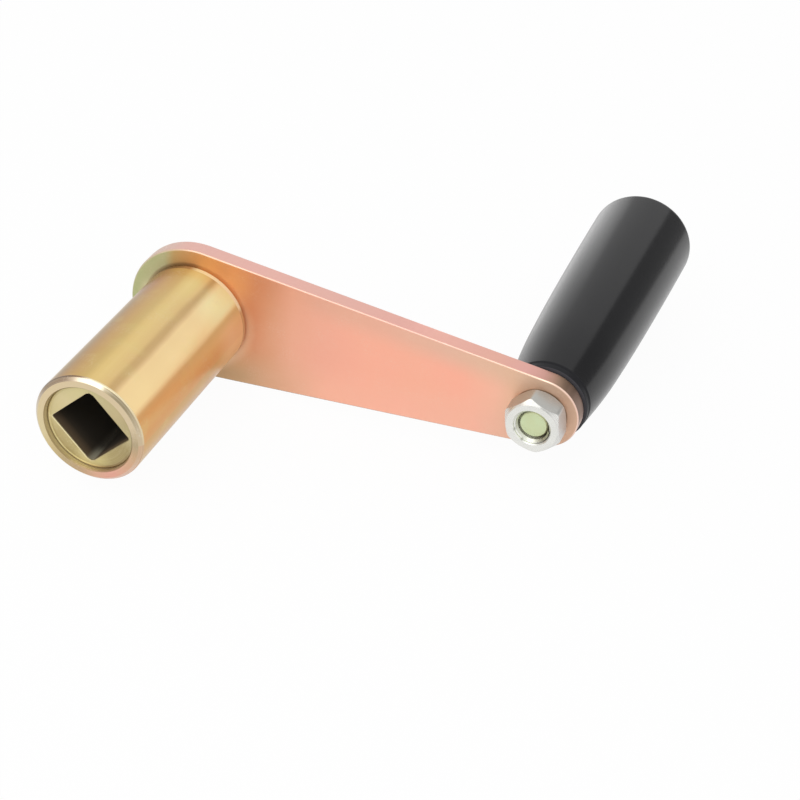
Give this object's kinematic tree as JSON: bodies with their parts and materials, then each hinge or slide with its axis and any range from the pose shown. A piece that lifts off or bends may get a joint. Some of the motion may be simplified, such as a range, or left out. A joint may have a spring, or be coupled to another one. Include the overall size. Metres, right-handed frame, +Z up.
{
  "type": "crank handle",
  "caption": "Hand crank with a round hub tube and square drive socket, a flat tapered arm, and a revolving barrel grip held by a shoulder bolt and hexagon nut.",
  "frame": {"origin": "on the hub axis, in the plane of the hub's front rim, at the mouth of the square socket", "axes": "+Y along the hub axis from the socket's mouth through the arm to the grip, +X along the arm from the hub to the grip, +Z up"},
  "size_m": [0.1486, 0.1763, 0.0438],
  "materials": {
    "plated_steel": "yellow and pink iridescent zinc passivate, satin",
    "plated_bolt": "pale yellow-green zinc passivate",
    "bright_zinc": "bright zinc plate",
    "black_plastic": "satin moulded black"
  },
  "bodies": {
    "crank": {"hub_tube": "plated_steel", "square_bush": "plated_steel", "arm_plate": "plated_steel", "hub_weld": "plated_steel", "axle_bolt": "plated_bolt", "hex_nut": "bright_zinc"},
    "grip": {"grip": "black_plastic"}
  },
  "joints": [
    {"name": "grip_spin", "type": "hinge", "parent": "crank", "child": "grip", "pos_m": [0.11, 0.124, 0], "axis": [0, 1, 0], "continuous": true}
  ]
}
